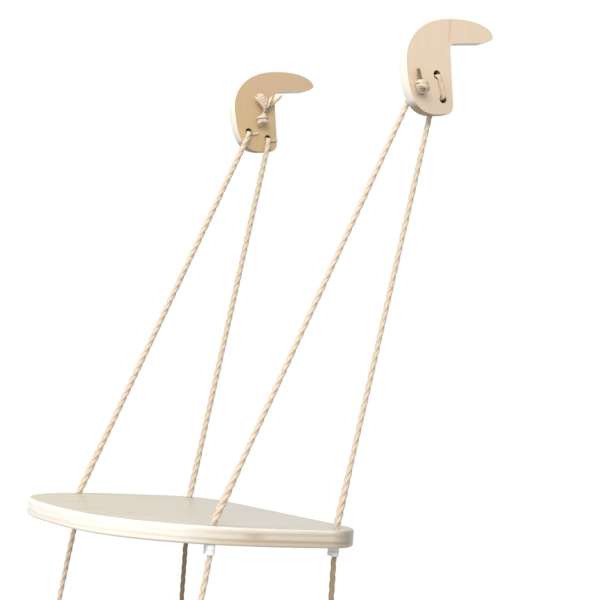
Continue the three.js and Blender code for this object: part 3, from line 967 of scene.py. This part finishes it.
def nylon_material(settings):
    """Plain white nylon."""
    material, _, _, shader = new_material("nylon")
    shader.inputs["Base Color"].default_value = (*settings.colour, 1)
    shader.inputs["Roughness"].default_value = 0.4
    return material


# Plates


def quarter(centre, half, power, start, steps):
    """A quarter of a rounded outline about a centre; 0 starts it on the right, 1 above."""
    points = []
    for i in range(steps):
        angle = (start + i / steps) * math.pi / 2
        across, up = math.cos(angle), math.sin(angle)
        points.append((
            centre[0] + half[0] * math.copysign(abs(across) ** (2 / power), across),
            centre[1] + half[1] * math.copysign(abs(up) ** (2 / power), up),
        ))
    return points


def plate(points, thickness, ease, segments):
    """A flat plate with eased edges, as a bmesh centred on Z = 0."""
    bm = bmesh.new()
    bmesh.ops.create_circle(bm, cap_ends=True, radius=1, segments=len(points))
    bm.verts.ensure_lookup_table()
    for vert, (x, y) in zip(bm.verts, points):
        vert.co = (x, y, -thickness / 2)
    bottom = bm.faces[:]
    top = bmesh.ops.extrude_face_region(bm, geom=bottom, use_keep_orig=True)
    lifted = [g for g in top["geom"] if isinstance(g, bmesh.types.BMVert)]
    bmesh.ops.translate(bm, verts=lifted, vec=(0, 0, thickness))
    bmesh.ops.recalc_face_normals(bm, faces=bm.faces)
    rims = [e for e in bm.edges if abs(e.verts[0].co.z - e.verts[1].co.z) < ease]
    bmesh.ops.bevel(
        bm, geom=rims, offset=ease, offset_type="OFFSET", segments=segments,
        profile=0.5, affect="EDGES", material=-1, clamp_overlap=True)
    return bm


def cut_holes(obj, places, radius, thickness, segments=32):
    """Drills holes through a plate that lies in X and Y."""
    for x, y in places:
        bm = bmesh.new()
        bmesh.ops.create_cone(
            bm, cap_ends=True, segments=segments, radius1=radius, radius2=radius,
            depth=2 * thickness)
        bmesh.ops.translate(bm, verts=bm.verts, vec=(x, y, 0))
        mesh = bpy.data.meshes.new("drill")
        bm.to_mesh(mesh)
        bm.free()
        tool = add_object("drill", mesh)
        cut = obj.modifiers.new("drill", "BOOLEAN")
        cut.object = tool
        cut.operation = "DIFFERENCE"
        cut.solver = "EXACT"
        bpy.context.view_layer.update()
        result = bpy.data.meshes.new_from_object(
            obj.evaluated_get(bpy.context.evaluated_depsgraph_get()))
        obj.modifiers.clear()
        obj.data = result
        bpy.data.objects.remove(tool)


def hole_shade_material():
    """The unvarnished walls of the drilled holes, dark with painted shade."""
    material, nodes, links, shader = new_material("drilled walls")
    _, grain = grain_nodes(nodes, links, scale=(300, 300, 300), distortion=0.4)
    colours = [(0.3, (0.10, 0.07, 0.04)), (0.7, (0.20, 0.14, 0.09))]
    links.new(ramp(nodes, links, grain, colours), shader.inputs["Base Color"])
    shader.inputs["Roughness"].default_value = 0.9
    return material


def paint_holes(obj, centres, radius, material, axis):
    """Gives the walls round the holes' axes their own material."""
    obj.data.materials.append(material)
    slot = len(obj.data.materials) - 1
    for polygon in obj.data.polygons:
        if abs(polygon.normal[axis]) > WALL_NORMAL:
            continue
        for centre in centres:
            away = polygon.center - centre
            away[axis] = 0
            if away.length < radius + WALL_MARGIN:
                polygon.material_index = slot


def paint_faces(obj, face_material, edge_material, axis):
    """Faces square to the axis get the face material and the rest the edge material."""
    obj.data.materials.clear()
    obj.data.materials.append(face_material)
    obj.data.materials.append(edge_material)
    for polygon in obj.data.polygons:
        polygon.material_index = 0 if abs(polygon.normal[axis]) > FLAT_NORMAL else 1
        polygon.use_smooth = abs(polygon.normal[axis]) < FLAT_NORMAL


def hook_outline(steps=24, corner_steps=10):
    """The upright hook's outline from its nose, over the crown and down to the foot."""
    points = quarter(
        (ARM_REACH - NOSE_RUN, NOSE_RISE), (NOSE_RUN, NOSE_RISE), NOSE_POWER, 3, steps)
    points += quarter(
        (CROWN_OFFSET, NOSE_RISE), (ARM_REACH - CROWN_OFFSET, CROWN_HEIGHT - NOSE_RISE),
        CROWN_POWER, 0, steps)
    points += quarter(
        (CROWN_OFFSET, -GIRTH_DROP), (BODY_WIDTH + CROWN_OFFSET, CROWN_HEIGHT + GIRTH_DROP),
        GIRTH_POWER, 1, steps)
    points += quarter(
        (-HEEL_OFFSET, -GIRTH_DROP), (BODY_WIDTH - HEEL_OFFSET, BODY_DROP - GIRTH_DROP),
        HEEL_POWER, 2, steps)
    points += quarter(
        (-BODY_TAPER - FOOT_RADIUS, FOOT_RADIUS - BODY_DROP), (FOOT_RADIUS, FOOT_RADIUS),
        ROUND, 3, corner_steps)
    points.append((-BODY_TAPER, FOOT_RADIUS - BODY_DROP))
    fillet = quarter(
        (INNER_FILLET, -INNER_FILLET), (INNER_FILLET, INNER_FILLET), ROUND, 1, corner_steps)
    points += [(0, -INNER_FILLET)] + fillet[::-1]
    return points


def board_outline(steps=48):
    """The board's outline from its left side, round the front to the straight back."""
    half = BOARD_HIGH.x
    back = BOARD_HIGH.y
    shoulder = back - BOARD_CORNER
    run = shoulder - BOARD_LOW.y
    inner = half - BOARD_CORNER
    rounding = (BOARD_CORNER, BOARD_CORNER)
    points = quarter((0, shoulder), (half, run), BOARD_POWER, 2, steps)
    points += quarter((0, shoulder), (half, run), BOARD_POWER, 3, steps)
    points += quarter((inner, shoulder), rounding, ROUND, 0, steps // 3)
    points.append((inner, back))
    points += quarter((-inner, shoulder), rounding, ROUND, 1, steps // 3)
    return points


# Operators


class ROPE_OT_stage(bpy.types.Operator):
    """Camera, lights, floor and backdrop"""

    bl_idname = "rope_shelf.stage"
    bl_label = "Stage"

    def execute(self, context):
        settings = context.scene.shelf_stage
        scene = context.scene
        scene.view_settings.view_transform = "Standard"
        self.add_camera(scene, settings)
        self.add_world(scene)
        for lamp in LAMPS:
            self.add_light(scene, *lamp)
        self.add_floor(settings)
        return {"FINISHED"}

    def add_camera(self, scene, settings):
        """The camera, with its right side and its view along the given directions."""
        data = bpy.data.cameras.new("camera")
        data.lens = settings.lens
        data.sensor_width = SENSOR_WIDTH
        data.clip_start, data.clip_end = CLIP_RANGE
        camera = bpy.data.objects.new("camera", data)
        right = CAMERA_RIGHT.normalized()
        back = -CAMERA_VIEW
        back = (back - right * back.dot(right)).normalized()
        up = back.cross(right)
        turn = Matrix((right, up, back)).transposed().to_4x4()
        camera.matrix_world = Matrix.Translation(settings.camera_place) @ turn
        scene.collection.objects.link(camera)
        scene.camera = camera

    def add_world(self, scene):
        """White all round, and dimmer as a light than the camera sees it."""
        world = bpy.data.worlds.new("room light")
        scene.world = world
        world.use_nodes = True
        nodes, links = world.node_tree.nodes, world.node_tree.links
        strength = nodes.new("ShaderNodeMapRange")
        strength.inputs["To Min"].default_value = ROOM_LIGHT
        strength.inputs["To Max"].default_value = 1
        links.new(seen_directly(nodes, links), strength.inputs["Value"])
        background = nodes["Background"]
        links.new(strength.outputs["Result"], background.inputs["Strength"])
        background.inputs["Color"].default_value = (1, 1, 1, 1)

    def add_light(self, scene, name, place, target, power):
        """A square lamp aimed at a target."""
        data = bpy.data.lights.new(name, "AREA")
        data.shape = "SQUARE"
        data.size = LAMP_SIZE
        data.energy = power
        lamp = bpy.data.objects.new(name, data)
        aim = (Vector(target) - Vector(place)).to_track_quat("-Z", "Y")
        lamp.matrix_world = Matrix.Translation(place) @ aim.to_matrix().to_4x4()
        scene.collection.objects.link(lamp)

    def add_floor(self, settings):
        """A grey floor that the camera sees as white."""
        bm = bmesh.new()
        bmesh.ops.create_grid(bm, x_segments=1, y_segments=1, size=FLOOR_HALF)
        bmesh.ops.translate(bm, verts=bm.verts, vec=(0, 0, cad_low.z - settings.floor_drop))
        mesh = bpy.data.meshes.new("floor")
        bm.to_mesh(mesh)
        bm.free()
        material, nodes, links, shader = new_material("floor")
        shader.inputs["Base Color"].default_value = (0.5, 0.5, 0.5, 1)
        shader.inputs["Roughness"].default_value = 0.9
        glow = nodes.new("ShaderNodeEmission")
        mix = nodes.new("ShaderNodeMixShader")
        links.new(seen_directly(nodes, links), mix.inputs["Fac"])
        links.new(shader.outputs["BSDF"], mix.inputs[1])
        links.new(glow.outputs["Emission"], mix.inputs[2])
        links.new(mix.outputs["Shader"], nodes["Material Output"].inputs["Surface"])
        floor = add_object("floor", mesh, material)


class ROPE_OT_ropes(bpy.types.Operator):
    """The four laid ropes with their knots, turns and free ends"""

    bl_idname = "rope_shelf.ropes"
    bl_label = "Ropes"

    def execute(self, context):
        settings = context.scene.shelf_rope
        material = rope_material(settings)
        for side_name in SIDES:
            for row in ROWS:
                for piece in self.make_rope(settings, side_name, row):
                    piece.data.materials.clear()
                    piece.data.materials.append(material)
        return {"FINISHED"}

    def make_rope(self, settings, side_name, row):
        """One whole rope, cut into the parts that move on their own."""
        side = SIDES[side_name]
        line = smooth_line(rope_route(side, row, settings.diameter), settings.ring_step)
        mesh = laid_mesh(line, settings.diameter, settings.lay, rope_shares(line, side, row))
        add_lay(mesh, line, rope_painted_shading(line, side, row))
        # The parts begin inside the hook's last hole, inside the board's hole and at the end knot
        bend = first_index(line, lambda p: past_hook(p, HOOK_HOLES[row], side))
        seat = first_index(line, lambda p: p.z < BOARD_TOP - SEAT_DEPTH)
        knot = first_index(line, lambda p: p.z < BOARD_TOP - FREE_LENGTH)
        head = self.make_head(settings, mesh, side_name, row, bend)
        stretches = self.make_stretches(mesh, line, side_name, row, bend, seat)
        ends = self.make_free_end(settings, mesh, line, side_name, row, seat, knot)
        return [head, *stretches, *ends]

    def make_head(self, settings, mesh, side_name, row, bend):
        """The rope's knot at the hook, with what runs through and over the hook."""
        side = SIDES[side_name]
        place = f"{row}_{side_name}"
        head = rope_part(mesh, f"rope_head_{place}", 0, bend)
        strands = strand_routes(side, settings.diameter) if row == "back" else []
        if side_name == "far":
            beside = hook_point(HOOK_HOLES[row], side * INNER_FACE)
            loose = placed(LOOSE_ROUTE, beside, -side, settings.diameter)
            strands.append((LOOSE_SWELL_SHARE, 0, loose))
        self.add_strands(settings, head, strands)
        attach(head, "hooks")
        if row == "front":
            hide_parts(f"knot_{place}")
        else:
            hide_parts(f"knot_{place}", f"wrap_{side_name}")
        return head

    def make_stretches(self, mesh, line, side_name, row, bend, seat):
        """The rope from the hook to the board; only the front far rope is cut into an upper part and
        a foot.
        """
        place = f"{row}_{side_name}"
        joined = place == "front_far"
        middle = first_index(line, lambda p: p.z < MIDDLE_Z, bend)
        pivot = line[first_index(line, lambda p: p.z < TURN_Z, bend)]
        upper = rope_part(mesh, f"rope_upper_{place}", bend, middle if joined else seat)
        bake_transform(upper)
        if not joined:
            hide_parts(f"bend_{place}", f"rope_{place}", f"foot_{place}")
            return [upper]
        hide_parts(f"bend_{place}", f"rope_{place}")
        foot = rope_part(mesh, f"rope_foot_{place}", middle, seat)
        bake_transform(foot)
        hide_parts(f"foot_{place}")
        return [upper, foot]

    def make_free_end(self, settings, mesh, line, side_name, row, seat, knot):
        """The rope below the board, with the knot on its end."""
        place = f"{row}_{side_name}"
        lower = rope_part(mesh, f"rope_lower_{place}", seat, knot)
        end_knot = rope_part(mesh, f"rope_end_{place}", knot, len(line) - 1)
        for piece, node in ((lower, "lower"), (end_knot, "end_knot")):
            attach(piece, "shelf")
            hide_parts(f"{node}_{place}")
        return [lower, end_knot]

    def add_strands(self, settings, head, strands):
        """Joins strands to a rope's head; each swells towards its end, then narrows."""
        bm = bmesh.new()
        bm.from_mesh(head.data)
        for swell, painted_shade, route in strands:
            line = smooth_line(route, settings.ring_step)
            count = len(line) - 1
            shares, painted_shading = [], []
            for k in range(count + 1):
                share = 1 + swell * smooth_step(k / count, *SWELL_SHARES)
                shares.append(share * (1 - TIP_NARROWING_SHARE * smooth_step(k / count, *TIP_SHARES)))
                # Painted light towards the strand's end, painted shade near its root
                painted_light = STRAND_LIGHT_SHARE * smooth_step(k / count, *PAINTED_LIGHT_SHARES)
                painted_shading.append(painted_shade * smooth_step(k / count, *PAINTED_SHADE_SHARES) - painted_light)
            lay = settings.strand * STRAND_LAY
            mesh = laid_mesh(line, settings.strand, lay, shares, STRAND_POINTS)
            add_lay(mesh, line, painted_shading, STRAND_POINTS)
            for polygon in mesh.polygons:
                polygon.use_smooth = len(polygon.vertices) == 4
            bm.from_mesh(mesh)
        close_ends(bm)
        bm.to_mesh(head.data)
        bm.free()


class ROPE_OT_board(bpy.types.Operator):
    """The board with its veneer, plies and rope holes"""

    bl_idname = "rope_shelf.board"
    bl_label = "Board"

    def execute(self, context):
        settings = context.scene.shelf_wood
        bm = plate(board_outline(), BOARD_THICKNESS, BOARD_EASE, segments=5)
        mesh = bpy.data.meshes.new("board")
        bm.to_mesh(mesh)
        bm.free()
        board = add_object("board", mesh)
        places = [
            (side * BOARD_HOLE_X, y) for side in SIDES.values() for y in BOARD_HOLE_Y.values()]
        cut_holes(board, places, BOARD_HOLE_WIDTH / 2, BOARD_THICKNESS)
        board.data.transform(Matrix.Translation((0, 0, BOARD_TOP - BOARD_THICKNESS / 2)))
        edge = board_edge_material(settings)
        paint_faces(board, veneer_material(settings), edge, axis=2)
        centres = [Vector((x, y, 0)) for x, y in places]
        # The holes' walls are darkened with painted shade
        paint_holes(board, centres, BOARD_HOLE_WIDTH / 2, hole_shade_material(), axis=2)
        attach(board, "shelf")
        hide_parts("shelf_board")
        return {"FINISHED"}


class ROPE_OT_hooks(bpy.types.Operator):
    """The two plywood hooks"""

    bl_idname = "rope_shelf.hooks"
    bl_label = "Hooks"

    def execute(self, context):
        settings = context.scene.shelf_wood
        face = hook_face_material(settings)
        wall = hole_shade_material()
        for name in SIDES:
            low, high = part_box(f"hook_{name}")
            edge = hook_edge_material(f"hook plies {name}", low.x, high.x, settings)
            hook = self.make_hook(f"hook_plate_{name}", (low.x + high.x) / 2, high.x - low.x)
            paint_faces(hook, face, edge, axis=0)
            centres = [hook_point(hole, 0) for hole in HOOK_HOLES.values()]
            # The holes' walls are darkened with painted shade
            paint_holes(hook, centres, HOOK_HOLE_WIDTH / 2, wall, axis=0)
            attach(hook, "hooks")
            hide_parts(f"hook_{name}")
        return {"FINISHED"}

    def make_hook(self, name, centre, thickness):
        """A drilled plate, stood up in Y and Z and tilted."""
        bm = plate(hook_outline(), thickness, HOOK_EASE, segments=3)
        mesh = bpy.data.meshes.new(name)
        bm.to_mesh(mesh)
        bm.free()
        hook = add_object(name, mesh)
        places = [(-setback, -drop) for setback, drop in HOOK_HOLES.values()]
        cut_holes(hook, places, HOOK_HOLE_WIDTH / 2, thickness)
        stand = Matrix(((0, 0, 1, 0), (1, 0, 0, 0), (0, 1, 0, 0), (0, 0, 0, 1)))
        tilt = Matrix.Rotation(HOOK_TILT, 4, "X")
        hook.data.transform(Matrix.Translation((centre, 0, 0)) @ tilt @ stand)
        return hook


class ROPE_OT_ties(bpy.types.Operator):
    """The cable ties that hold the ropes under the board"""

    bl_idname = "rope_shelf.ties"
    bl_label = "Cable ties"

    def execute(self, context):
        material = nylon_material(context.scene.shelf_tie)
        for side_name in SIDES:
            for row in ROWS:
                for level in ("upper", "lower"):
                    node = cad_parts[f"tie_{level}_{row}_{side_name}"]
                    node.data.materials.clear()
                    node.data.materials.append(material)
        return {"FINISHED"}


class ROPE_PT_panel(bpy.types.Panel):
    """Lists the shelf's pieces and their settings"""

    bl_idname = "ROPE_PT_panel"
    bl_label = "Rope Shelf"
    bl_space_type = "VIEW_3D"
    bl_region_type = "UI"
    bl_category = "Rope Shelf"

    def draw(self, context):
        for operator in OPERATORS:
            self.layout.operator(operator.bl_idname)
        for name in SETTINGS:
            group = getattr(context.scene, name)
            box = self.layout.box()
            for key in group.__annotations__:
                box.prop(group, key)


OPERATORS = (ROPE_OT_stage, ROPE_OT_ropes, ROPE_OT_board, ROPE_OT_hooks, ROPE_OT_ties)
SETTINGS = {
    "shelf_rope": RopeSettings,
    "shelf_wood": WoodSettings,
    "shelf_tie": TieSettings,
    "shelf_stage": StageSettings,
}


def register():
    for cls in (*SETTINGS.values(), *OPERATORS, ROPE_PT_panel):
        bpy.utils.register_class(cls)
    for name, cls in SETTINGS.items():
        setattr(bpy.types.Scene, name, PointerProperty(type=cls))


def unregister():
    for name in SETTINGS:
        delattr(bpy.types.Scene, name)
    for cls in reversed((*SETTINGS.values(), *OPERATORS, ROPE_PT_panel)):
        bpy.utils.unregister_class(cls)


def main():
    """Builds the shelf."""
    register()
    bpy.ops.rope_shelf.stage()
    bpy.ops.rope_shelf.ropes()
    bpy.ops.rope_shelf.board()
    bpy.ops.rope_shelf.hooks()
    bpy.ops.rope_shelf.ties()


if __name__ == "__main__":
    main()
